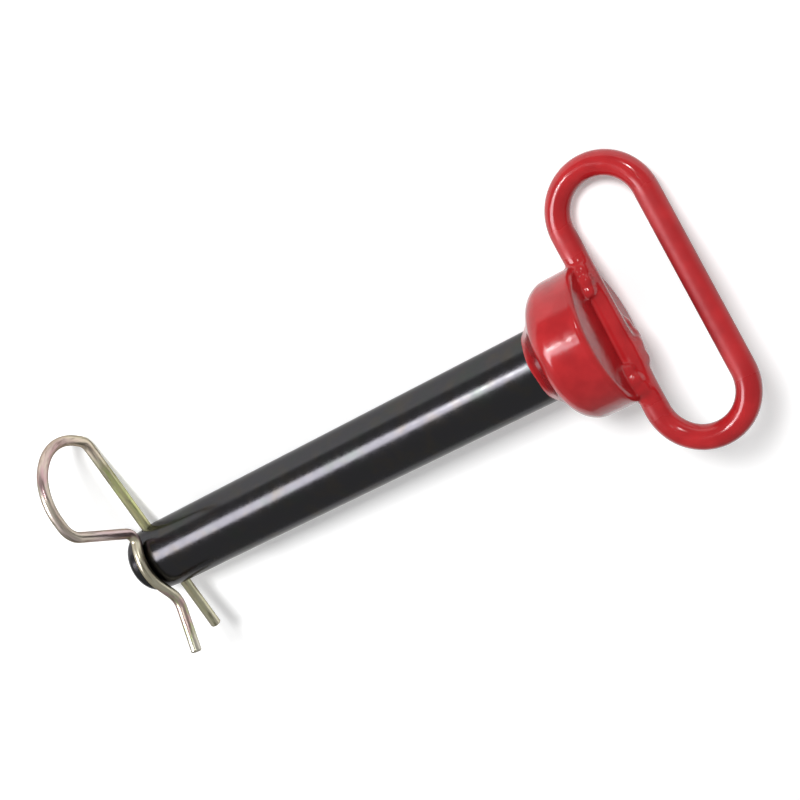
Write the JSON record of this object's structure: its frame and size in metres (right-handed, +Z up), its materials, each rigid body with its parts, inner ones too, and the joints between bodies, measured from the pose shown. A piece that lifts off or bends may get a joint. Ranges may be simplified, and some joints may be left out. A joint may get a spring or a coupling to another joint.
{
  "type": "hitch pin",
  "caption": "Round steel hitch pin with a flared red head, a red loop handle across its top and a hairpin clip through its nose.",
  "frame": {"origin": "on the floor under the middle of the lying pin", "axes": "+X from the handle to the nose, +Y to the clip's open legs, +Z up; the pin lies nose down by 3.6 degrees and rolled by 25.7 degrees"},
  "size_m": [0.246, 0.1076, 0.0495],
  "materials": {
    "black_steel": "glossy black oxide",
    "red_enamel": "glossy dipped enamel",
    "yellow_zinc": "yellow zinc plating"
  },
  "bodies": {
    "pin": {"shank": "black_steel", "head": "red_enamel", "neck_weld": "red_enamel", "handle": "red_enamel", "handle_welds": "red_enamel"},
    "clip": {"hairpin_clip": "yellow_zinc"}
  },
  "joints": [
    {"name": "clip_pull", "type": "slide", "parent": "pin", "child": "clip", "axis": [-0.0133, -0.9775, -0.2105], "range_m": [0, 0.08], "deforming": ["hairpin_clip"]}
  ]
}
